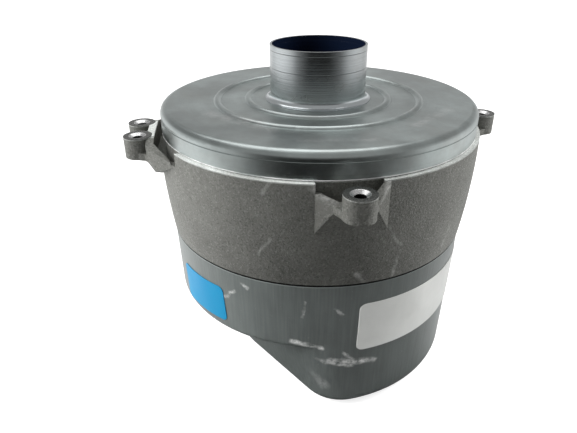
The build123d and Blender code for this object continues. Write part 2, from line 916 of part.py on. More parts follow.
# Ball bearings
ball_share = 0.3
shoulder_share = 0.42
cage_mouth_share = 0.3
cage_back = 0.6
cage_clearance = 0.25


def bearing(name, bore, outer, width, low, ball_count):
    ball_radius = ball_share * (outer - bore) / 2
    pitch_radius = (bore + outer) / 4
    middle = low + width / 2
    inner_shoulder = pitch_radius - shoulder_share * ball_radius
    outer_shoulder = pitch_radius + shoulder_share * ball_radius
    cage_low = middle - cage_mouth_share * ball_radius
    cage_high = middle + ball_radius + cage_back

    def race(inner_radius, outer_radius, suffix):
        with BuildPart() as body:
            with BuildSketch(Plane.XZ):
                with Locations(((inner_radius + outer_radius) / 2, middle)):
                    Rectangle(outer_radius - inner_radius, width)
                with Locations((pitch_radius, middle)):
                    Circle(ball_radius + running_clearance, mode=Mode.SUBTRACT)
            revolve(axis=Axis.Z)
        save(body.part, f"{name}_{suffix}")

    race(bore / 2, inner_shoulder, "inner_ring")
    race(outer_shoulder, outer / 2, "outer_ring")
    with BuildPart() as balls:
        with Locations((0, 0, middle)):
            with PolarLocations(pitch_radius, ball_count):
                Sphere(ball_radius)
    save(balls.part, f"{name}_balls")
    with BuildPart() as cage:
        with BuildSketch(Plane.XY.offset(cage_low)):
            Circle(outer_shoulder - cage_clearance)
            Circle(inner_shoulder + cage_clearance, mode=Mode.SUBTRACT)
        extrude(amount=cage_high - cage_low)
        with Locations((0, 0, middle)):
            with PolarLocations(pitch_radius, ball_count):
                Sphere(ball_radius + running_clearance, mode=Mode.SUBTRACT)
    save(cage.part, f"{name}_cage")


bearing("upper_bearing", upper_bore, upper_outer, upper_width, upper_bearing_low, 8)
bearing("lower_bearing", lower_bore, lower_outer, lower_width, lower_bearing_low, 7)

# Armature: slotted core, windings through the slots and a commutator below
armature_radius = 24.5
slot_count = 12
slot_circle = 19.4
slot_radius = 2.6
slot_mouth = 1.6
winding_radius = 2.35
winding_inner_radius = 8.0
winding_outer_radius = 22.6
winding_gap = 0.4
upper_winding_height = 6.6
lower_winding_height = 7.4
winding_edge_radius = 2.4
commutator_radius = 13.5
commutator_low = 20.0
commutator_height = 15.0
riser_radius = 15.0
riser_height = 1.0
segment_count = 24
segment_gap = 0.5
segment_depth = 1.2

shaft_bore_radius = armature_shaft_radius + seat_clearance

with BuildPart() as armature_core:
    with BuildSketch(Plane.XY.offset(armature_low)):
        Circle(armature_radius)
        Circle(shaft_bore_radius, mode=Mode.SUBTRACT)
        with PolarLocations(slot_circle, slot_count):
            Circle(slot_radius, mode=Mode.SUBTRACT)
        with PolarLocations(slot_circle + slot_radius, slot_count):
            Rectangle(2 * slot_radius + cut_overrun, slot_mouth, mode=Mode.SUBTRACT)
    extrude(amount=armature_high - armature_low)
save(armature_core.part, "armature_core")

with BuildPart() as armature_windings:
    with BuildSketch(Plane.XY.offset(armature_low - winding_gap - winding_edge_radius)):
        with PolarLocations(slot_circle, slot_count):
            Circle(winding_radius)
    extrude(amount=armature_high - armature_low + 2 * (winding_gap + winding_edge_radius))
    for low, height in (
        (armature_high + winding_gap, upper_winding_height),
        (armature_low - winding_gap - lower_winding_height, lower_winding_height),
    ):
        with BuildSketch(Plane.XZ):
            with Locations(((winding_inner_radius + winding_outer_radius) / 2, low + height / 2)):
                RectangleRounded(winding_outer_radius - winding_inner_radius, height, winding_edge_radius)
        revolve(axis=Axis.Z)
save(armature_windings.part, "armature_windings")

with BuildPart() as commutator:
    with BuildSketch(Plane.XY.offset(commutator_low)):
        Circle(commutator_radius)
        Circle(shaft_bore_radius, mode=Mode.SUBTRACT)
    extrude(amount=commutator_height)
    with BuildSketch(Plane.XY.offset(commutator_low + commutator_height - riser_height)):
        Circle(riser_radius)
        Circle(shaft_bore_radius, mode=Mode.SUBTRACT)
    extrude(amount=riser_height)
    with BuildSketch(Plane.XY.offset(commutator_low)):
        with PolarLocations(commutator_radius, segment_count):
            Rectangle(2 * segment_depth, segment_gap)
    extrude(amount=commutator_height, mode=Mode.SUBTRACT)
save(commutator.part, "commutator")

# Stator: flatted core with two poles, and a saddle coil round each pole
air_gap = 0.5
coil_window_radius = 34.0
coil_window_angle = 60.0
coil_inner_radius = 26.5
coil_outer_radius = 33.0
coil_edge_angle = 4.0
coil_side_angle = 23.0
coil_end_height = 7.0
coil_end_gap = 0.6
stator_screw_hole = 2.3

with BuildPart() as stator_core:
    with BuildSketch(Plane.XY.offset(stator_low)):
        Circle(stator_radius)
        Rectangle(2 * stator_radius, 2 * stator_flat, mode=Mode.INTERSECT)
        Circle(armature_radius + air_gap, mode=Mode.SUBTRACT)
        for side in (0, 180):
            add(
                sector(armature_radius, coil_window_radius, side - coil_window_angle / 2, coil_window_angle),
                mode=Mode.SUBTRACT,
            )
        with Locations(*stator_screw_spots):
            Circle(stator_screw_hole, mode=Mode.SUBTRACT)
    extrude(amount=stator_height)
save(stator_core.part, "stator_core")

with BuildPart() as field_coils:
    with BuildSketch(Plane.XY.offset(stator_low - coil_end_height)):
        for side in (0, 180):
            add(sector(coil_inner_radius, coil_outer_radius, side + coil_edge_angle, 180 - 2 * coil_edge_angle))
    extrude(amount=stator_height + 2 * coil_end_height)
    with BuildSketch(Plane.XY.offset(stator_low - coil_end_gap)):
        for side in (0, 180):
            start = side + coil_edge_angle + coil_side_angle
            span = 180 - 2 * (coil_edge_angle + coil_side_angle)
            add(sector(coil_inner_radius - cut_overrun, coil_outer_radius + cut_overrun, start, span))
    extrude(amount=stator_height + 2 * coil_end_gap, mode=Mode.SUBTRACT)
save(field_coils.part, "field_coils")

# Brush gear: bracket with the lower bearing cup, two holders, brushes, springs and caps along Y
bracket_hub_radius = 14.5
bracket_arm_width = 12.0
bracket_arm_low = 12.0
bracket_arm_high = 17.0
bracket_arm_reach = 40.0
brush_level = 28.2
brush_width = 6.3
brush_height = 10.9
brush_length = 15.5
brush_gap = 0.12
brush_clearance = 0.1
holder_wall = 1.4
tag_reach = 34.0
tag_length = 5.0
tag_depth = 3.0
tag_height = 2.6
holder_start = 16.0
holder_end = 40.0
pad_start = 24.0
cap_thickness = 1.6
spring_wire_radius = 0.35
spring_radius = 2.3
spring_turns = 6

holder_half_width = brush_width / 2 + brush_clearance + holder_wall
holder_half_height = brush_height / 2 + brush_clearance + holder_wall
pad_top = brush_level - holder_half_height - seat_clearance
column_high = stator_low - seat_clearance

with BuildPart() as brush_bracket:
    with BuildSketch(Plane.XY.offset(hub_floor_level)):
        Circle(bracket_hub_radius)
    extrude(amount=bracket_arm_high - hub_floor_level)
    with BuildSketch(Plane.XY.offset(bracket_arm_low)):
        Rectangle(2 * stator_screw_radius, bracket_arm_width)
        Rectangle(bracket_arm_width, 2 * bracket_arm_reach)
    extrude(amount=bracket_arm_high - bracket_arm_low)
    with BuildSketch(Plane.XY.offset(bracket_arm_low)):
        with Locations(*stator_screw_spots):
            Circle(stator_post_radius)
    extrude(amount=column_high - bracket_arm_low)
    for side in (1, -1):
        with BuildSketch(Plane.XY.offset(bracket_arm_high)):
            with Locations((0, side * (pad_start + bracket_arm_reach) / 2)):
                Rectangle(bracket_arm_width, bracket_arm_reach - pad_start)
        extrude(amount=pad_top - bracket_arm_high)
    with BuildSketch(Plane.XY.offset(lower_bearing_low)):
        Circle(lower_outer / 2 + seat_clearance)
    extrude(amount=bracket_arm_high - lower_bearing_low, mode=Mode.SUBTRACT)
    with BuildSketch(Plane.XY.offset(bracket_arm_low)):
        with Locations(*stator_screw_spots):
            Circle(stator_screw_hole)
    extrude(amount=column_high - bracket_arm_low, mode=Mode.SUBTRACT)
save(brush_bracket.part, "brush_bracket")

stator_screw_head_radius = 3.4
stator_screw_head_height = 3.0
stator_screw_core = 1.6
stator_screw_grip = 12.0
save(
    screw(
        stator_screw_spots,
        bracket_arm_low - seat_clearance - stator_screw_head_height,
        stator_screw_head_radius,
        stator_screw_head_height,
        stator_screw_core,
        stator_high - bracket_arm_low + stator_screw_grip,
    ),
    "stator_screws",
)

with BuildPart() as brush_holders:
    for side in (1, -1):
        with Locations((0, side * (holder_start + holder_end) / 2, brush_level)):
            Box(2 * holder_half_width, holder_end - holder_start, 2 * holder_half_height)
            Box(
                brush_width + 2 * brush_clearance,
                holder_end - holder_start,
                brush_height + 2 * brush_clearance,
                mode=Mode.SUBTRACT,
            )
        with Locations((side * (holder_half_width + tag_length / 2), side * (tag_reach - tag_depth / 2), brush_level)):
            Box(tag_length, tag_depth, tag_height)
save(brush_holders.part, "brush_holders")

with BuildPart() as brush_caps:
    for side in (1, -1):
        with Locations((0, side * (holder_end + seat_clearance + cap_thickness / 2), brush_level)):
            Box(2 * holder_half_width, cap_thickness, 2 * holder_half_height)
save(brush_caps.part, "brush_caps")

brush_face = commutator_radius + brush_gap
brush_back = brush_face + brush_length
spring_start = brush_back + seat_clearance + spring_wire_radius
spring_length = holder_end - seat_clearance - spring_wire_radius - spring_start

for side, name in ((1, "back"), (-1, "front")):
    with BuildPart() as brush:
        with Locations((0, side * (brush_face + brush_back - commutator_radius / 4) / 2, brush_level)):
            Box(brush_width, brush_length + commutator_radius / 4, brush_height)
        with BuildSketch(Plane.XY.offset(brush_level - brush_height)):
            Circle(brush_face)
        extrude(amount=2 * brush_height, mode=Mode.SUBTRACT)
    save(brush.part, f"{name}_brush")
    spring_plane = Plane(origin=(0, side * spring_start, brush_level), x_dir=(1, 0, 0), z_dir=(0, side, 0))
    coil = Helix(spring_length / spring_turns, spring_length, spring_radius)
    coil = spring_plane.location * coil
    with BuildPart() as spring:
        with BuildSketch(Plane(origin=coil @ 0, z_dir=coil % 0)):
            Circle(spring_wire_radius)
        sweep(path=coil)
    save(spring.part, f"{name}_brush_spring")

# Cable grommet in the back wall of the motor cover, with a hole for each of the two leads
grommet_flange_radius = 9.6
grommet_flange = 1.8
lead_hole_radius = 1.4
lead_hole_offset = 3.4

grommet_outer_seat = cone_radius(grommet_level + grommet_flange_radius) + seat_clearance
grommet_lower_radius = cone_radius(grommet_level - grommet_flange_radius) - motor_cover_wall
grommet_inner_seat = sqrt(grommet_lower_radius**2 - grommet_flange_radius**2) - seat_clearance

with BuildPart() as cable_grommet:
    for start, end, radius in (
        (grommet_outer_seat, grommet_outer_seat + grommet_flange, grommet_flange_radius),
        (grommet_inner_seat, grommet_outer_seat, grommet_hole_radius - seat_clearance),
        (grommet_inner_seat - grommet_flange, grommet_inner_seat, grommet_flange_radius),
    ):
        with BuildSketch(Plane.XZ.offset(-end)):
            with Locations((0, grommet_level)):
                Circle(radius)
        extrude(amount=end - start)
    with BuildSketch(Plane.XZ.offset(-grommet_outer_seat - grommet_flange)):
        with Locations((-lead_hole_offset, grommet_level), (lead_hole_offset, grommet_level)):
            Circle(lead_hole_radius)
    extrude(amount=grommet_outer_seat + 2 * grommet_flange - grommet_inner_seat, mode=Mode.SUBTRACT)
save(cable_grommet.part, "cable_grommet")

# Terminal block on the back flat of the stator
terminal_width = 26.0
terminal_depth = 8.0
terminal_low = 52.0
terminal_high = 68.0
terminal_screw_radius = 1.6
terminal_screw_depth = 3.0
terminal_screw_spacing = 6.2

terminal_face = stator_flat + seat_clearance + terminal_depth
terminal_middle = (terminal_low + terminal_high) / 2

with BuildPart() as terminal_block:
    with Locations((0, stator_flat + seat_clearance + terminal_depth / 2, terminal_middle)):
        Box(terminal_width, terminal_depth, terminal_high - terminal_low)
    with BuildSketch(Plane.XZ.offset(-terminal_face)):
        with Locations((0, terminal_middle)):
            with GridLocations(terminal_screw_spacing, terminal_screw_spacing, 4, 1):
                Circle(terminal_screw_radius)
    extrude(amount=terminal_screw_depth, mode=Mode.SUBTRACT)
save(terminal_block.part, "terminal_block")

# Internal leads: two down to the brush holders and two up to the field coils
lead_radius = 0.65
lead_turn_share = 0.45
lead_routes = (
    ((8.0, 44.5, 51.92), (8.0, 45.3, 40.0), (8.0, 44.5, 28.2), (8.0, 34.05, 28.2)),
    (
        (-8.0, 44.5, 51.55),
        (-12.0, 46.0, 47.0),
        (-30.0, 45.0, 47.5),
        (-48.0, 24.0, 47.0),
        (-53.0, -2.0, 47.5),
        (-45.0, -28.0, 47.0),
        (-27.0, -46.0, 47.0),
        (-11.0, -49.0, 38.0),
        (-8.0, -44.5, 28.2),
        (-8.0, -34.05, 28.2),
    ),
    ((5.0, 44.5, 68.07), (5.0, 45.2, 80.0), (5.0, 32.95, 80.0)),
    (
        (-5.0, 44.5, 68.3),
        (-9.0, 46.5, 78.5),
        (-30.0, 41.0, 80.0),
        (-48.0, 20.0, 79.5),
        (-50.0, -8.0, 80.0),
        (-38.0, -34.0, 79.5),
        (-20.0, -46.5, 80.0),
        (-5.0, -45.2, 80.0),
        (-5.0, -32.95, 80.0),
    ),
)


def lead(points):
    corners = [Vector(*point) for point in points]
    radii = []
    for before, corner, after in zip(corners, corners[1:], corners[2:]):
        arriving = corner - before
        leaving = after - corner
        shorter = min(arriving.length, leaving.length)
        radii.append(lead_turn_share * shorter / tan(radians(arriving.get_angle(leaving) / 2)))
    print("lead radii", [round(radius, 1) for radius in radii])
    with BuildPart() as body:
        with BuildLine() as route:
            FilletPolyline(*points, radius=radii)
        with BuildSketch(Plane(origin=route.line @ 0, z_dir=route.line % 0)):
            Circle(lead_radius)
        sweep(path=route.line)
    return body.part


internal_leads = [lead(points) for points in lead_routes]
for points, body in zip(lead_routes, internal_leads):
    print("lead volume share", round(body.volume / (pi * lead_radius**2), 1))
save(Compound(children=internal_leads), "internal_leads")
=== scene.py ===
import bpy
import json
from math import radians
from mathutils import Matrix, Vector

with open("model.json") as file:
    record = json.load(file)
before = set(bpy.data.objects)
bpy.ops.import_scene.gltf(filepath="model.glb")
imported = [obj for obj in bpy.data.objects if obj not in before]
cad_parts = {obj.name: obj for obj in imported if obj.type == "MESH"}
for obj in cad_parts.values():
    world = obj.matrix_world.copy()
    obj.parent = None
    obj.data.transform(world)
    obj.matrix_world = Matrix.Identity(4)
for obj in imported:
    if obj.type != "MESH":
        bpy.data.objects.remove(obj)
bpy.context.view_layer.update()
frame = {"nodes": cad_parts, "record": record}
nodes = frame["nodes"]
white = (1.0, 1.0, 1.0, 1.0)

# Camera, set by the outlines in the photograph
cameraSetup = {
    "place": (-0.05323, -0.28095, 0.2269),
    "turn": (62.15, 0.0, -7.5),
    "roll": -0.34,
    "lens": 33.2,
    "sensorWidth": 36.0,
    "clipStart": 0.01,
}


def makeCamera(setup):
    data = bpy.data.cameras.new("photoCamera")
    data.lens = setup["lens"]
    data.sensor_width = setup["sensorWidth"]
    data.sensor_fit = "HORIZONTAL"
    data.clip_start = setup["clipStart"]
    camera = bpy.data.objects.new("photoCamera", data)
    bpy.context.scene.collection.objects.link(camera)
    camera.location = setup["place"]
    camera.rotation_euler = [radians(angle) for angle in setup["turn"]]
    camera.rotation_euler.rotate_axis("Z", radians(setup["roll"]))
    bpy.context.scene.camera = camera


makeCamera(cameraSetup)
bpy.context.scene.view_settings.view_transform = "Standard"
print("camera placed")


# Small helpers for shader trees
def addNode(tree, kind, **settings):
    node = tree.nodes.new(kind)
    for key, value in settings.items():
        setattr(node, key, value)
    return node


def plug(tree, source, socket):
    if isinstance(source, bpy.types.NodeSocket):
        tree.links.new(source, socket)
    else:
        socket.default_value = source


def doMath(tree, operation, first, second=0.0):
    node = addNode(tree, "ShaderNodeMath", operation=operation)
    plug(tree, first, node.inputs[0])
    plug(tree, second, node.inputs[1])
    return node.outputs[0]


def times(tree, first, second):
    return doMath(tree, "MULTIPLY", first, second)


def plus(tree, first, second):
    return doMath(tree, "ADD", first, second)


def minus(tree, first, second):
    return doMath(tree, "SUBTRACT", first, second)


def larger(tree, first, second):
    return doMath(tree, "MAXIMUM", first, second)


def smaller(tree, first, second):
    return doMath(tree, "MINIMUM", first, second)


def vectorMath(tree, operation, first, second=None):
    node = addNode(tree, "ShaderNodeVectorMath", operation=operation)
    plug(tree, first, node.inputs[0])
    if second is not None:
        plug(tree, second, node.inputs[1])
    return node.outputs


def objectCoords(tree):
    return addNode(tree, "ShaderNodeTexCoord").outputs["Object"]


def splitVector(tree, vector):
    node = addNode(tree, "ShaderNodeSeparateXYZ")
    plug(tree, vector, node.inputs[0])
    return node.outputs


def joinVector(tree, x, y, z):
    node = addNode(tree, "ShaderNodeCombineXYZ")
    for source, socket in zip((x, y, z), node.inputs):
        plug(tree, source, socket)
    return node.outputs[0]


def stretched(tree, coords, scale, turn=(0.0, 0.0, 0.0)):
    node = addNode(tree, "ShaderNodeMapping", vector_type="TEXTURE")
    plug(tree, coords, node.inputs["Vector"])
    node.inputs["Rotation"].default_value = [radians(angle) for angle in turn]
    node.inputs["Scale"].default_value = scale
    return node.outputs[0]


def span(tree, value, low, high, first=0.0, last=1.0):
    node = addNode(tree, "ShaderNodeMapRange")
    plug(tree, value, node.inputs["Value"])
    ends = {"From Min": low, "From Max": high, "To Min": first, "To Max": last}
    for key, number in ends.items():
        node.inputs[key].default_value = number
    return node.outputs[0]


def between(tree, share, first, last):
    return span(tree, share, 0.0, 1.0, first, last)


def grain(tree, coords, scale, detail=4.0, rough=0.6, low=0.3, high=0.7):
    noise = addNode(tree, "ShaderNodeTexNoise")
    plug(tree, coords, noise.inputs["Vector"])
    noise.inputs["Scale"].default_value = scale
    noise.inputs["Detail"].default_value = detail
    noise.inputs["Roughness"].default_value = rough
    return span(tree, noise.outputs[0], low, high)


# A Mix node holds its numbers in sockets 2 and 3 and its colours in sockets 6 and 7
def blendNumber(tree, factor, first, second):
    node = addNode(tree, "ShaderNodeMix", data_type="FLOAT")
    for source, place in ((factor, 0), (first, 2), (second, 3)):
        plug(tree, source, node.inputs[place])
    return node.outputs[0]


def blendColour(tree, factor, first, second):
    node = addNode(tree, "ShaderNodeMix", data_type="RGBA")
    for source, place in ((factor, 0), (first, 6), (second, 7)):
        plug(tree, source, node.inputs[place])
    return node.outputs[2]


def blendShader(tree, factor, first, second):
    node = addNode(tree, "ShaderNodeMixShader")
    for source, place in ((factor, 0), (first, 1), (second, 2)):
        plug(tree, source, node.inputs[place])
    return node.outputs[0]


def layer(tree, base, mask, colour, share=1.0):
    return blendColour(tree, times(tree, mask, share), base, colour)


def grey(level, tint=(1.0, 1.0, 1.0)):
    return (level * tint[0], level * tint[1], level * tint[2], 1.0)


def mottled(tree, mask, setup):
    dark = grey(setup["level"] * (1 - setup["mottle"]), setup["tint"])
    light = grey(setup["level"] * (1 + setup["mottle"]), setup["tint"])
    return blendColour(tree, mask, dark, light)


# Each row of layers has a mask with its brightness beside the base level, and its share
def layered(tree, base, setup, rows):
    for mask, (brightness, share) in rows:
        base = layer(tree, base, mask, grey(setup["level"] * brightness, setup["tint"]), share)
    return base


def addBump(tree, height, distance, strength=1.0, normal=None):
    node = addNode(tree, "ShaderNodeBump")
    plug(tree, height, node.inputs["Height"])
    node.inputs["Distance"].default_value = distance
    node.inputs["Strength"].default_value = strength
    if normal is not None:
        plug(tree, normal, node.inputs["Normal"])
    return node.outputs[0]


def softEdges(tree, radius):
    node = addNode(tree, "ShaderNodeBevel", samples=4)
    node.inputs["Radius"].default_value = radius
    return node.outputs[0]


def facingUp(tree):
    surface = addNode(tree, "ShaderNodeNewGeometry")
    return splitVector(tree, surface.outputs["True Normal"])["Z"]


def newMaterial(name):
    material = bpy.data.materials.new(name)
    material.use_nodes = True
    tree = material.node_tree
    shader = tree.nodes["Principled BSDF"]
    return material, tree, shader


def dress(nodeName, material):
    mesh = nodes[nodeName].data
    mesh.materials.clear()
    mesh.materials.append(material)


# Studio: panels at both sides and above, a white backdrop, and a dim room on the camera side
studioSetup = {
    "panels": {
        "leftPanel": {"place": (-0.8, -0.02, 0.6), "size": (0.6, 0.6), "power": 17.0, "mirrored": False},
        "rightPanel": {"place": (0.8, 0.08, 0.55), "size": (0.5, 0.6), "power": 13.0, "mirrored": False},
        "topPanel": {"place": (-0.05, 0.35, 1.0), "size": (1.0, 0.7), "power": 3.0, "mirrored": True},
    },
    "target": (0.0, 0.0, 0.09),
    "ambient": 0.185,
    "towardsCamera": (-0.1305, -0.9914, 0.0),
    "towardsRight": (0.9914, -0.1305, 0.0),
    "rightBand": (0.2, 0.8),
    "rightShare": 0.72,
    "sideBand": (0.78, 0.95),
    "sideGlow": 0.37,
    "risingBand": (0.0, 0.3),
    "overheadLevel": 0.35,
    "dimLevel": 0.015,
    "worldBand": (0.1, 0.7),
    "floorBand": (0.0, 0.92),
    "floorSize": 6.0,
    "floorColour": (0.45, 0.45, 0.45, 1.0),
    "floorRough": 0.9,
    "floorShine": 0.1,
    "floorGlow": 0.8,
    "floorLift": 0.07,
    "glowReach": (0.3, 1.2),
    "shadeReach": (0.04, 0.095),
    "shadeLevel": 0.3,
}


def makePanel(name, setup, target):
    data = bpy.data.lights.new(name, "AREA")
    data.shape = "RECTANGLE"
    data.size, data.size_y = setup["size"]
    data.energy = setup["power"]
    lamp = bpy.data.objects.new(name, data)
    bpy.context.scene.collection.objects.link(lamp)
    lamp.location = setup["place"]
    lamp.visible_glossy = setup["mirrored"]
    aim = Vector(target) - Vector(setup["place"])
    lamp.rotation_euler = aim.to_track_quat("-Z", "Y").to_euler()


# How bright a mirror finds the room in a direction: dim ahead, brighter at both sides
def roomLevel(tree, direction, setup, band):
    ahead = vectorMath(tree, "DOT_PRODUCT", direction, setup["towardsCamera"])["Value"]
    aside = vectorMath(tree, "DOT_PRODUCT", direction, setup["towardsRight"])["Value"]
    level = span(tree, ahead, *band, 1.0, setup["dimLevel"])
    beside = span(tree, doMath(tree, "ABSOLUTE", aside), *setup["sideBand"], 0.0, setup["sideGlow"])
    fade = span(tree, aside, *setup["rightBand"], 1.0, setup["rightShare"])
    return times(tree, plus(tree, level, beside), fade)


def makeWorld(setup):
    world = bpy.data.worlds.new("studioWorld")
    bpy.context.scene.world = world
    world.use_nodes = True
    tree = world.node_tree
    background = tree.nodes["Background"]
    rays = addNode(tree, "ShaderNodeLightPath").outputs
    direction = addNode(tree, "ShaderNodeTexCoord").outputs["Generated"]
    seen = larger(tree, rays["Is Camera Ray"], rays["Is Transmission Ray"])
    rising = span(tree, splitVector(tree, direction)["Z"], *setup["risingBand"])
    around = smaller(tree, roomLevel(tree, direction, setup, setup["worldBand"]), 1.0)
    room = blendNumber(tree, rising, around, setup["overheadLevel"])
    mirror = blendNumber(tree, rays["Is Glossy Ray"], setup["ambient"], room)
    background.inputs["Color"].default_value = white
    plug(tree, larger(tree, mirror, seen), background.inputs["Strength"])


def makeFloor(setup):
    bpy.ops.object.select_all(action="DESELECT")
    bpy.ops.mesh.primitive_plane_add(size=setup["floorSize"], location=(0.0, 0.0, 0.0))
    floor = bpy.context.object
    floor.name = "studioFloor"
    material, tree, shader = newMaterial("paleFloor")
    shader.inputs["Base Color"].default_value = setup["floorColour"]
    shader.inputs["Roughness"].default_value = setup["floorRough"]
    shader.inputs["Specular IOR Level"].default_value = setup["floorShine"]
    shader.inputs["Emission Color"].default_value = white
    rays = addNode(tree, "ShaderNodeLightPath").outputs
    coords = objectCoords(tree)
    away = vectorMath(tree, "LENGTH", coords)["Value"]
    seen = larger(tree, rays["Is Camera Ray"], rays["Is Transmission Ray"])
    glow = times(tree, seen, span(tree, away, *setup["glowReach"], setup["floorGlow"], 1.0))
    lifted = times(tree, rays["Is Diffuse Ray"], setup["floorLift"])
    plug(tree, plus(tree, glow, lifted), shader.inputs["Emission Strength"])
    # What polished metal mirrors, shaded under the unit
    outward = vectorMath(tree, "NORMALIZE", coords)["Vector"]
    around = roomLevel(tree, outward, setup, setup["floorBand"])
    beneath = span(tree, away, *setup["shadeReach"], setup["shadeLevel"], 1.0)
    mirrored = addNode(tree, "ShaderNodeEmission")
    plug(tree, times(tree, around, beneath), mirrored.inputs["Strength"])
    above = blendShader(tree, rays["Is Glossy Ray"], shader.outputs[0], mirrored.outputs[0])
    # Clear from below, so that the underside can be looked at
    below = addNode(tree, "ShaderNodeBsdfTransparent").outputs[0]
    behind = addNode(tree, "ShaderNodeNewGeometry").outputs["Backfacing"]
    surface = tree.nodes["Material Output"].inputs["Surface"]
    plug(tree, blendShader(tree, behind, above, below), surface)
    floor.data.materials.append(material)


for panelName, panelSetup in studioSetup["panels"].items():
    makePanel(panelName, panelSetup, studioSetup["target"])
makeWorld(studioSetup)
makeFloor(studioSetup)
print("studio set")

# Marks left by handling, one of them on the casting also a painted highlight: each one runs from a start
# to an end point, with a width and a strength
markSetup = {
    "waveScale": 240.0,
    "waveDetail": 3.0,
    "waveReach": 0.003,
    "core": 0.2,
    "chips": {"scale": 520.0, "detail": 4.0, "rough": 0.75, "low": 0.26, "high": 0.56},
    "patches": {"scale": 150.0, "detail": 3.0, "rough": 0.6, "low": 0.33, "high": 0.52},
}


def distanceTo(tree, coords, start, end):
    run = Vector(end) - Vector(start)
    offset = vectorMath(tree, "SUBTRACT", coords, start)["Vector"]
    along = vectorMath(tree, "DOT_PRODUCT", offset, run / run.length_squared)["Value"]
    nearest = addNode(tree, "ShaderNodeVectorMath", operation="SCALE")
    nearest.inputs[0].default_value = run
    plug(tree, span(tree, along, 0.0, 1.0), nearest.inputs["Scale"])
    return vectorMath(tree, "DISTANCE", offset, nearest.outputs[0])["Value"]


def waved(tree, coords, setup):
    wave = addNode(tree, "ShaderNodeTexNoise")
    wave.inputs["Scale"].default_value = setup["waveScale"]
    wave.inputs["Detail"].default_value = setup["waveDetail"]
    plug(tree, coords, wave.inputs["Vector"])
    shove = addNode(tree, "ShaderNodeVectorMath", operation="MULTIPLY_ADD")
    plug(tree, wave.outputs["Color"], shove.inputs[0])
    shove.inputs[1].default_value = [setup["waveReach"]] * 3
    plug(tree, coords, shove.inputs[2])
    return shove.outputs[0]


def marks(tree, coords, runs, setup=markSetup):
    total = 0.0
    wavy = waved(tree, coords, setup)
    middle = Vector([setup["waveReach"] / 2] * 3)
    for start, end, width, strength in runs:
        away = distanceTo(tree, wavy, Vector(start) + middle, Vector(end) + middle)
        total = larger(tree, total, span(tree, away, width, width * setup["core"], 0.0, strength))
    broken = times(tree, grain(tree, coords, **setup["chips"]), grain(tree, coords, **setup["patches"]))
    return times(tree, total, broken)


# Zinc-plated and galvanised sheet with fine turned lines
steelSetup = {
    "pipe": {
        "level": 0.52,
        "tint": (0.95, 1.01, 1.03),
        "mottle": 0.08,
        "rough": (0.2, 0.3),
        "lineScale": 1500.0,
        "lineLayer": (0.6, 0.4),
        "spotLayer": (0.5, 0.05),
        "depth": 0.00002,
    },
    "cover": {
        "level": 0.55,
        "tint": (0.905, 1.0, 0.985),
        "mottle": 0.22,
        "rough": (0.28, 0.42),
        "lineScale": 900.0,
        "lineLayer": (0.6, 0.12),
        "spotLayer": (0.5, 0.06),
        "depth": 0.000015,
    },
    "both": {
        "lines": {"detail": 3.0, "rough": 0.7, "low": 0.35, "high": 0.65},
        "clouds": {"scale": 30.0, "detail": 6.0, "rough": 0.62, "low": 0.35, "high": 0.65},
        "smears": {"scale": 1.0, "detail": 5.0, "rough": 0.7, "low": 0.45, "high": 0.75},
        "smearStretch": {"scale": (0.02, 0.06, 0.02), "turn": (0.0, 0.0, 25.0)},
        "smearTint": (1.0, 0.99, 0.93),
        "smearDark": 0.72,
        "smearShare": 0.42,
        "spots": {"scale": 380.0, "detail": 3.0, "rough": 0.6, "low": 0.6, "high": 0.7},
        "cloudPart": 0.6,
        "smearPart": 0.4,
    },
}
pipeSetup = {
    "innerBand": (0.0245, 0.0243),
    "innerColour": (0.006, 0.011, 0.028, 1.0),
    "innerMetal": 0.4,
    "footBand": (0.1538, 0.1518),
    "footLevel": 0.74,
    "footShine": 0.1,
    "grooves": (
        {"level": 0.1752, "half": 0.00022, "depth": 0.8},
        {"level": 0.1664, "half": 0.00045, "depth": 0.4},
    ),
    "grooveFade": 0.4,
    "grooveLevel": 0.08,
    "grooveHeight": 4.0,
}
# The hem at the skirt's lower edge is a painted highlight: near white and less metallic, broken along its
# length
hemSetup = {
    "band": (0.13735, 0.1372),
    "breaks": {"scale": 70.0, "detail": 4.0, "rough": 0.6, "low": 0.3, "high": 0.55},
    "level": 0.95,
    "metal": 0.25,
    "markBright": 1.7,
}
coverMarks = [
    ((-0.058, -0.022, 0.1495), (-0.03, -0.052, 0.1495), 0.005, 0.35),
    ((0.036, -0.055, 0.1495), (0.06, -0.034, 0.1495), 0.004, 0.3),
    ((-0.02, -0.068, 0.1495), (0.012, -0.071, 0.1495), 0.003, 0.25),
]


def turnedSteel(name, setup, shared):
    material, tree, shader = newMaterial(name)
    coords = objectCoords(tree)
    x, y, z = splitVector(tree, coords)
    radius = doMath(tree, "SQRT", plus(tree, times(tree, x, x), times(tree, y, y)))
    lines = grain(tree, joinVector(tree, radius, z, 0.0), scale=setup["lineScale"], **shared["lines"])
    clouds = grain(tree, coords, **shared["clouds"])
    smears = grain(tree, stretched(tree, coords, **shared["smearStretch"]), **shared["smears"])
    spots = grain(tree, coords, **shared["spots"])
    base = mottled(tree, clouds, setup)
    base = layered(tree, base, setup, [(lines, setup["lineLayer"])])
    smearColour = grey(setup["level"] * shared["smearDark"], shared["smearTint"])
    base = layer(tree, base, smears, smearColour, shared["smearShare"])
    base = layered(tree, base, setup, [(spots, setup["spotLayer"])])
    cloudPart = times(tree, clouds, shared["cloudPart"])
    smearPart = times(tree, smears, shared["smearPart"])
    rough = between(tree, plus(tree, cloudPart, smearPart), *setup["rough"])
    made = {
        "coords": coords,
        "z": z,
        "radius": radius,
        "lines": lines,
        "clouds": clouds,
        "base": base,
        "rough": rough,
    }
    return material, tree, shader, made


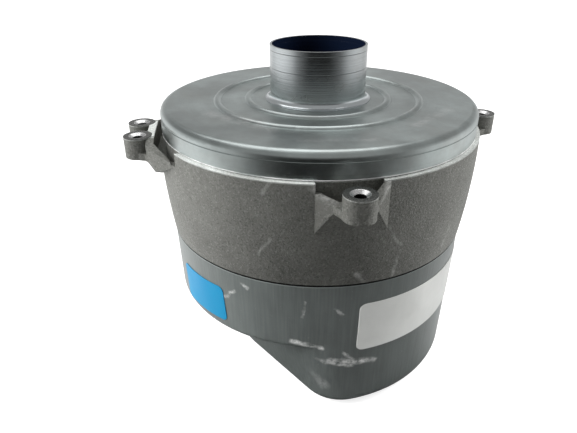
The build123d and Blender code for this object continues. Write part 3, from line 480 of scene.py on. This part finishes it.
def finishSteel(tree, shader, base, metal, rough, height, depth):
    plug(tree, base, shader.inputs["Base Color"])
    plug(tree, metal, shader.inputs["Metallic"])
    plug(tree, rough, shader.inputs["Roughness"])
    plug(tree, addBump(tree, height, depth), shader.inputs["Normal"])


def coverSteel(name, setup, shared, hem, runs):
    material, tree, shader, made = turnedSteel(name, setup, shared)
    worn = marks(tree, made["coords"], runs)
    base = layer(tree, made["base"], worn, grey(setup["level"] * hem["markBright"]))
    breaks = grain(tree, made["coords"], **hem["breaks"])
    # painted highlight: the hem band is coloured near white and made less metallic
    edge = times(tree, span(tree, made["z"], *hem["band"]), breaks)
    base = layer(tree, base, edge, grey(hem["level"]))
    metal = between(tree, edge, 1.0, hem["metal"])
    finishSteel(tree, shader, base, metal, made["rough"], made["lines"], setup["depth"])
    return material


def pipeSteel(name, setup, shared, pipe):
    material, tree, shader, made = turnedSteel(name, setup, shared)
    groove = 0.0
    for row in pipe["grooves"]:
        away = doMath(tree, "ABSOLUTE", minus(tree, made["z"], row["level"]))
        groove = larger(tree, groove, span(tree, away, row["half"], 0.0, 0.0, row["depth"]))
    groove = times(tree, groove, between(tree, made["clouds"], pipe["grooveFade"], 1.0))
    footHighlight = span(tree, made["z"], *pipe["footBand"])
    insideShade = span(tree, made["radius"], *pipe["innerBand"])
    # painted shade: the two rolled grooves are coloured dark
    base = layer(tree, made["base"], groove, grey(pipe["grooveLevel"]))
    # painted highlight: the foot of the pipe is coloured light grey and made smoother
    base = layer(tree, base, footHighlight, grey(pipe["footLevel"], setup["tint"]))
    # painted shade: the bore of the pipe is coloured dark navy and made less metallic where it only lies
    # in shade
    base = layer(tree, base, insideShade, pipe["innerColour"])
    metal = between(tree, insideShade, 1.0, pipe["innerMetal"])
    rough = minus(tree, made["rough"], times(tree, footHighlight, pipe["footShine"]))
    height = minus(tree, made["lines"], times(tree, groove, pipe["grooveHeight"]))
    finishSteel(tree, shader, base, metal, rough, height, setup["depth"])
    return material


# Sand-cast alloy: grain with painted glints, pits, scratches, machined rim with a painted highlight, boss
# tops, painted shade in the bores and along the seam
castSetup = {
    "level": 0.232,
    "tint": (1.0, 1.01, 0.935),
    "mottle": 0.2,
    "metal": 0.76,
    "rough": (0.34, 0.62),
    "coarse": {"scale": 45.0, "detail": 6.0, "rough": 0.65},
    "fine": {"scale": 950.0, "detail": 3.0, "rough": 0.75, "low": 0.38, "high": 0.62},
    "fineLayer": (1.5, 0.5),
    "cellScale": 1500.0,
    "glintBand": (0.72, 1.0),
    "glintLayer": (2.2, 0.4),
    "pitBand": (0.8, 1.0),
    "pitLayer": (0.4, 0.45),
    "cellHeight": 0.6,
    "streaks": {"scale": 1.0, "detail": 5.0, "rough": 0.7, "low": 0.62, "high": 0.8},
    "streakStretch": (0.0012, 0.0012, 0.04),
    "streakShare": 0.5,
    "patches": {"scale": 22.0, "detail": 3.0, "rough": 0.5, "low": 0.45, "high": 0.62},
    "wornColour": (0.62, 0.62, 0.6014, 1.0),
    "topBand": (0.1361, 0.1362),
    "nearTopBand": (0.13555, 0.1357),
    "rimColour": (0.912, 0.95, 0.9215, 1.0),
    "rimBreaks": (-1.0, 0.6, 1.0, 0.5),
    "rimPatches": (0.1, 0.9, 0.5, 1.0),
    "rimDulling": 0.5,
    "bossSpots": ((0.0, -0.096), (0.096, 0.0), (0.0, 0.096), (-0.096, -0.011), (-0.096, 0.011)),
    "bossBand": (0.0076, 0.0074),
    "bossColour": (0.13, 0.13, 0.1235, 1.0),
    "bossShare": 0.95,
    "boreBand": (0.0026, 0.00255),
    "boreLevel": 0.004,
    "mouthBand": (0.00445, 0.0044),
    "slopeBand": (0.99, 0.97),
    "polishedLevel": 0.75,
    "polishedMetal": 0.95,
    "polishedShine": 0.3,
    "polishedGrain": 0.1,
    "plainShine": 0.5,
    "seamBand": (0.0835, 0.0832),
    "seamLevel": 0.012,
    "edgeSoftness": 0.0007,
    "grainDepth": 0.0002,
    "grainStrength": 0.7,
}
castMarks = [
    ((-0.0404, -0.0741, 0.0982), (-0.0346, -0.0779, 0.1078), 0.0012, 0.7),
    ((0.0041, -0.0835, 0.0887), (0.0083, -0.0829, 0.0845), 0.0022, 1.0),
    ((0.0231, -0.08, 0.0845), (0.0244, -0.0812, 0.1027), 0.0012, 0.9),
    ((0.0233, -0.0816, 0.103), (0.0175, -0.0837, 0.1139), 0.001, 0.7),
    ((-0.0375, -0.0772, 0.1302), (-0.0337, -0.0791, 0.1373), 0.0012, 0.7),
    # partly a worn burr, partly a painted highlight along the top edge of the front lug's left wing
    ((-0.017, -0.0835, 0.1345), (-0.0085, -0.0895, 0.1292), 0.0026, 1.0),
    ((0.0125, -0.0905, 0.129), (0.0155, -0.0855, 0.1355), 0.0022, 1.0),
    ((0.052, -0.065, 0.09), (0.056, -0.0645, 0.1), 0.0012, 0.5),
    ((-0.02, -0.082, 0.087), (-0.012, -0.0835, 0.0905), 0.0012, 0.5),
    ((-0.0745, 0.037, 0.1), (-0.072, 0.045, 0.112), 0.0015, 0.8),
    ((0.06, 0.058, 0.095), (0.055, 0.065, 0.11), 0.0014, 0.8),
]


# How far each point lies from the nearest boss, seen from above
def bossDistance(tree, x, y, spots):
    flat = joinVector(tree, x, y, 0.0)
    reach = 1.0
    for spot in spots:
        away = vectorMath(tree, "DISTANCE", flat, (*spot, 0.0))["Value"]
        reach = smaller(tree, reach, away)
    return reach


def castAlloy(name, setup, runs):
    material, tree, shader = newMaterial(name)
    coords = objectCoords(tree)
    x, y, z = splitVector(tree, coords)
    coarse = grain(tree, coords, **setup["coarse"])
    fine = grain(tree, coords, **setup["fine"])
    cells = addNode(tree, "ShaderNodeTexVoronoi")
    plug(tree, coords, cells.inputs["Vector"])
    cells.inputs["Scale"].default_value = setup["cellScale"]
    sparkle = splitVector(tree, cells.outputs["Color"])
    glint = span(tree, sparkle[0], *setup["glintBand"])
    pit = span(tree, sparkle[1], *setup["pitBand"])
    streaks = grain(tree, stretched(tree, coords, setup["streakStretch"]), **setup["streaks"])
    scratches = times(tree, streaks, grain(tree, coords, **setup["patches"]))
    worn = larger(tree, times(tree, scratches, setup["streakShare"]), marks(tree, coords, runs))
    base = mottled(tree, coarse, setup)
    # the bright cells are painted glints of the grain; the dark cells are pits
    rows = [(fine, setup["fineLayer"]), (glint, setup["glintLayer"]), (pit, setup["pitLayer"])]
    base = layered(tree, base, setup, rows)
    base = layer(tree, base, worn, setup["wornColour"])
    # Machined rim with chips and a painted highlight, boss tops, countersinks, and bores in painted shade
    top = span(tree, z, *setup["topBand"])
    nearTop = span(tree, z, *setup["nearTopBand"])
    reach = bossDistance(tree, x, y, setup["bossSpots"])
    boreShadeMask = span(tree, reach, *setup["boreBand"])
    mouth = span(tree, reach, *setup["mouthBand"])
    slope = span(tree, facingUp(tree), *setup["slopeBand"])
    polished = times(tree, minus(tree, mouth, boreShadeMask), slope)
    broken = span(tree, minus(tree, fine, top), *setup["rimBreaks"])
    broken = times(tree, broken, span(tree, coarse, *setup["rimPatches"]))
    bossTop = times(tree, top, span(tree, reach, *setup["bossBand"]))
    # partly real bare metal and chips, partly painted highlight: the rim and the band below it are
    # coloured near white where broken
    base = layer(tree, base, times(tree, larger(tree, nearTop, top), broken), setup["rimColour"])
    base = layer(tree, base, bossTop, setup["bossColour"], setup["bossShare"])
    base = layer(tree, base, polished, grey(setup["polishedLevel"]))
    # painted shade: the bores of the lugs are coloured near black, without metal or shine
    base = layer(tree, base, boreShadeMask, grey(setup["boreLevel"]))
    # painted shade: a near-black band along the casting's lower edge, at the seam
    base = layer(tree, base, span(tree, z, *setup["seamBand"]), grey(setup["seamLevel"]))
    plug(tree, base, shader.inputs["Base Color"])
    bright = larger(tree, polished, bossTop)
    metal = between(tree, bright, setup["metal"], setup["polishedMetal"])
    metal = minus(tree, metal, times(tree, minus(tree, top, bright), setup["rimDulling"]))
    plug(tree, minus(tree, metal, boreShadeMask), shader.inputs["Metallic"])
    plug(tree, between(tree, boreShadeMask, setup["plainShine"], 0.0), shader.inputs["Specular IOR Level"])
    machined = larger(tree, polished, top)
    rough = span(tree, minus(tree, fine, worn), -1.0, 1.0, *setup["rough"])
    rough = minus(tree, rough, times(tree, machined, setup["polishedShine"]))
    plug(tree, rough, shader.inputs["Roughness"])
    height = plus(tree, fine, times(tree, minus(tree, glint, pit), setup["cellHeight"]))
    height = times(tree, height, between(tree, machined, 1.0, setup["polishedGrain"]))
    soft = softEdges(tree, setup["edgeSoftness"])
    bump = addBump(tree, height, setup["grainDepth"], setup["grainStrength"], soft)
    plug(tree, bump, shader.inputs["Normal"])
    return material


# Smooth dark greenish-grey paint with faint vertical streaks, pale scuffs, a painted highlight along its
# top edge and painted shade on the ledge under the seam
paintSetup = {
    "level": 0.116,
    "tint": (0.91, 1.02, 0.985),
    "mottle": 0.15,
    "rough": (0.32, 0.46),
    "shine": 0.36,
    "clouds": {"scale": 26.0, "detail": 5.0, "rough": 0.6},
    "streaks": {"scale": 1.0, "detail": 4.0, "rough": 0.6, "low": 0.4, "high": 0.7},
    "streakStretch": (0.0013, 0.0013, 0.07),
    "streakLayer": (1.5, 0.45),
    "haze": {"scale": 14.0, "detail": 4.0, "rough": 0.6, "low": 0.5, "high": 0.8},
    "hazeLayer": (1.8, 0.3),
    "dust": {"scale": 520.0, "detail": 4.0, "rough": 0.7, "low": 0.66, "high": 0.74},
    "dustLevel": 0.3,
    "dustShare": 0.4,
    "wornColour": (0.6534, 0.66, 0.6468, 1.0),
    "wornShare": 0.95,
    "edgeBand": (0.0815, 0.0819),
    "edgeLayer": (2.2, 0.7),
    "upwardBand": (0.5, 0.8),
    "seamLevel": 0.01,
    "cloudPart": 0.4,
    "wornPart": 0.6,
    "peel": {"scale": 700.0, "detail": 2.0, "rough": 0.5},
    "peelDepth": 0.00003,
    "peelStrength": 0.6,
    "edgeSoftness": 0.0009,
}
paintMarks = [
    ((-0.0253, -0.0774, 0.0479), (-0.0111, -0.0805, 0.0437), 0.0022, 1.0),
    ((-0.0223, -0.0779, 0.0374), (-0.0083, -0.0805, 0.034), 0.002, 0.9),
    ((-0.0083, -0.0805, 0.034), (0.0059, -0.0805, 0.0308), 0.0016, 0.8),
    ((-0.0063, -0.0807, 0.0353), (0.0175, -0.0789, 0.0319), 0.0026, 1.0),
    ((-0.0187, -0.0783, 0.0244), (-0.0097, -0.0795, 0.0159), 0.0055, 0.45),
    ((0.0007, -0.0811, 0.0401), (0.0057, -0.0807, 0.0351), 0.0014, 0.7),
    ((-0.0575, -0.0587, 0.0645), (-0.0523, -0.0637, 0.0713), 0.0014, 0.7),
    ((-0.0482, -0.0672, 0.0775), (-0.046, -0.0687, 0.0759), 0.0014, 0.8),
    ((-0.0194, -0.0802, 0.0728), (-0.0202, -0.0796, 0.0634), 0.001, 0.6),
    ((-0.0047, -0.0822, 0.0692), (-0.0006, -0.0821, 0.0645), 0.0011, 0.6),
    ((0.045, 0.066, 0.05), (0.035, 0.073, 0.047), 0.002, 0.7),
    ((-0.07, 0.036, 0.06), (-0.066, 0.044, 0.065), 0.0014, 0.6),
]


def motorPaint(name, setup, runs):
    material, tree, shader = newMaterial(name)
    coords = objectCoords(tree)
    z = splitVector(tree, coords)["Z"]
    clouds = grain(tree, coords, **setup["clouds"])
    streaks = grain(tree, stretched(tree, coords, setup["streakStretch"]), **setup["streaks"])
    haze = grain(tree, coords, **setup["haze"])
    dust = grain(tree, coords, **setup["dust"])
    peel = grain(tree, coords, **setup["peel"])
    worn = marks(tree, coords, runs)
    edge = span(tree, z, *setup["edgeBand"])
    upward = span(tree, facingUp(tree), *setup["upwardBand"])
    base = mottled(tree, clouds, setup)
    base = layered(tree, base, setup, [(streaks, setup["streakLayer"]), (haze, setup["hazeLayer"])])
    base = layer(tree, base, dust, grey(setup["dustLevel"]), setup["dustShare"])
    base = layer(tree, base, worn, setup["wornColour"], setup["wornShare"])
    # painted highlight: a lighter band along the motor cover's top edge
    base = layered(tree, base, setup, [(edge, setup["edgeLayer"])])
    # painted shade: the upward face of the motor cover's top edge, under the seam, is coloured near black
    base = layer(tree, base, times(tree, edge, upward), grey(setup["seamLevel"]))
    plug(tree, base, shader.inputs["Base Color"])
    cloudPart = times(tree, clouds, setup["cloudPart"])
    wornPart = times(tree, worn, setup["wornPart"])
    plug(tree, between(tree, plus(tree, cloudPart, wornPart), *setup["rough"]), shader.inputs["Roughness"])
    shader.inputs["Specular IOR Level"].default_value = setup["shine"]
    soft = softEdges(tree, setup["edgeSoftness"])
    bump = addBump(tree, plus(tree, peel, worn), setup["peelDepth"], setup["peelStrength"], soft)
    plug(tree, bump, shader.inputs["Normal"])
    return material


# Plain finishes of the small and inner pieces: level, tint, metal, roughness and grain scale
plainFinishes = {
    "sealRubber": (0.008, (1.0, 1.0, 1.0), 0.0, (0.6, 0.85), 500.0),
    "fanAlloy": (0.6, (1.0, 1.0, 1.02), 1.0, (0.3, 0.45), 220.0),
    "shaftSteel": (0.5, (1.0, 1.0, 1.02), 1.0, (0.15, 0.3), 900.0),
    "screwSteel": (0.55, (1.0, 1.0, 0.96), 1.0, (0.25, 0.4), 700.0),
    "sealFelt": (0.35, (1.0, 0.9, 0.75), 0.0, (0.85, 1.0), 1500.0),
    "bearingSteel": (0.65, (1.0, 1.0, 1.03), 1.0, (0.08, 0.18), 900.0),
    "cageBrass": (0.65, (1.0, 0.78, 0.42), 1.0, (0.25, 0.4), 600.0),
    "lamination": (0.16, (0.95, 1.0, 1.1), 0.8, (0.4, 0.6), 1800.0),
    "copperWire": (0.4, (1.0, 0.45, 0.2), 0.6, (0.25, 0.4), 1200.0),
    "copperBar": (0.7, (1.0, 0.55, 0.33), 1.0, (0.2, 0.38), 900.0),
    "bracketAlloy": (0.45, (1.0, 1.0, 0.98), 0.9, (0.4, 0.6), 900.0),
    "holderBrass": (0.65, (1.0, 0.8, 0.45), 1.0, (0.22, 0.4), 500.0),
    "capPlastic": (0.03, (1.0, 0.95, 0.9), 0.0, (0.4, 0.6), 600.0),
    "carbon": (0.04, (1.0, 1.0, 1.03), 0.0, (0.6, 0.8), 1500.0),
    "springSteel": (0.55, (1.0, 1.0, 1.02), 1.0, (0.2, 0.35), 900.0),
    "leadSleeve": (0.4, (1.0, 0.14, 0.1), 0.0, (0.35, 0.5), 700.0),
}
plainSetup = {
    "broadPart": 1 / 8,
    "broad": {"detail": 4.0, "rough": 0.6},
    "fine": {"detail": 4.0, "rough": 0.7},
    "dark": 0.8,
    "light": 1.12,
    "fineDark": 0.7,
    "fineShare": 0.25,
    "bumpDepth": 0.00004,
    "bumpStrength": 0.5,
}


def plainFinish(name, row, setup):
    level, tint, metal, rough, scale = row
    material, tree, shader = newMaterial(name)
    coords = objectCoords(tree)
    broad = grain(tree, coords, scale=scale * setup["broadPart"], **setup["broad"])
    fine = grain(tree, coords, scale=scale, **setup["fine"])
    base = blendColour(tree, broad, grey(level * setup["dark"], tint), grey(level * setup["light"], tint))
    base = layer(tree, base, fine, grey(level * setup["fineDark"], tint), setup["fineShare"])
    plug(tree, base, shader.inputs["Base Color"])
    shader.inputs["Metallic"].default_value = metal
    plug(tree, between(tree, fine, *rough), shader.inputs["Roughness"])
    bump = addBump(tree, fine, setup["bumpDepth"], setup["bumpStrength"])
    plug(tree, bump, shader.inputs["Normal"])
    return material


# Bare label films, the white one darkened towards its right end with painted shade, partly standing in for
# its left-out print
labelFinishes = {
    "blueFilm": {
        "colour": (0.004, 0.205, 0.4, 1.0),
        "worn": (0.02, 0.25, 0.44, 1.0),
        "rough": (0.35, 0.5),
        "shine": 0.15,
    },
    "whiteFilm": {
        "colour": (0.68, 0.69, 0.67, 1.0),
        "worn": (0.54, 0.55, 0.53, 1.0),
        "rough": (0.3, 0.45),
        "shine": 0.12,
        "soil": (0.045, 0.08, 0.0, 0.4),
    },
}
filmSetup = {
    "broad": {"scale": 60.0, "detail": 5.0, "rough": 0.6, "low": 0.35, "high": 0.75},
    "broadShare": 0.5,
    "fine": {"scale": 1400.0, "detail": 3.0, "rough": 0.6},
    "bumpDepth": 0.00001,
    "bumpStrength": 0.5,
}


def labelFilm(name, label, setup):
    material, tree, shader = newMaterial(name)
    coords = objectCoords(tree)
    broad = grain(tree, coords, **setup["broad"])
    fine = grain(tree, coords, **setup["fine"])
    worn = times(tree, broad, setup["broadShare"])
    base = blendColour(tree, worn, label["colour"], label["worn"])
    # painted shade towards the right end of the white film, partly standing in for its left-out print
    if "soil" in label:
        base = layer(tree, base, span(tree, splitVector(tree, coords)["X"], *label["soil"]), grey(0.0))
    plug(tree, base, shader.inputs["Base Color"])
    plug(tree, between(tree, broad, *label["rough"]), shader.inputs["Roughness"])
    shader.inputs["Specular IOR Level"].default_value = label["shine"]
    bump = addBump(tree, fine, setup["bumpDepth"], setup["bumpStrength"])
    plug(tree, bump, shader.inputs["Normal"])
    return material


finishes = {name: plainFinish(name, row, plainSetup) for name, row in plainFinishes.items()}
finishes.update({name: labelFilm(name, label, filmSetup) for name, label in labelFinishes.items()})
sheet = steelSetup["both"]
finishes["pipeSteel"] = pipeSteel("pipeSteel", steelSetup["pipe"], sheet, pipeSetup)
finishes["coverSteel"] = coverSteel("coverSteel", steelSetup["cover"], sheet, hemSetup, coverMarks)
finishes["castAlloy"] = castAlloy("castAlloy", castSetup, castMarks)
finishes["coverPaint"] = motorPaint("coverPaint", paintSetup, paintMarks)


def finishOf(slotName):
    first, *rest = slotName.split("_")
    return first + "".join(word.capitalize() for word in rest)


for entry in frame["record"]["subparts"]:
    dress(entry["node"], finishes[finishOf(entry["material_slot"])])
print("finishes given")
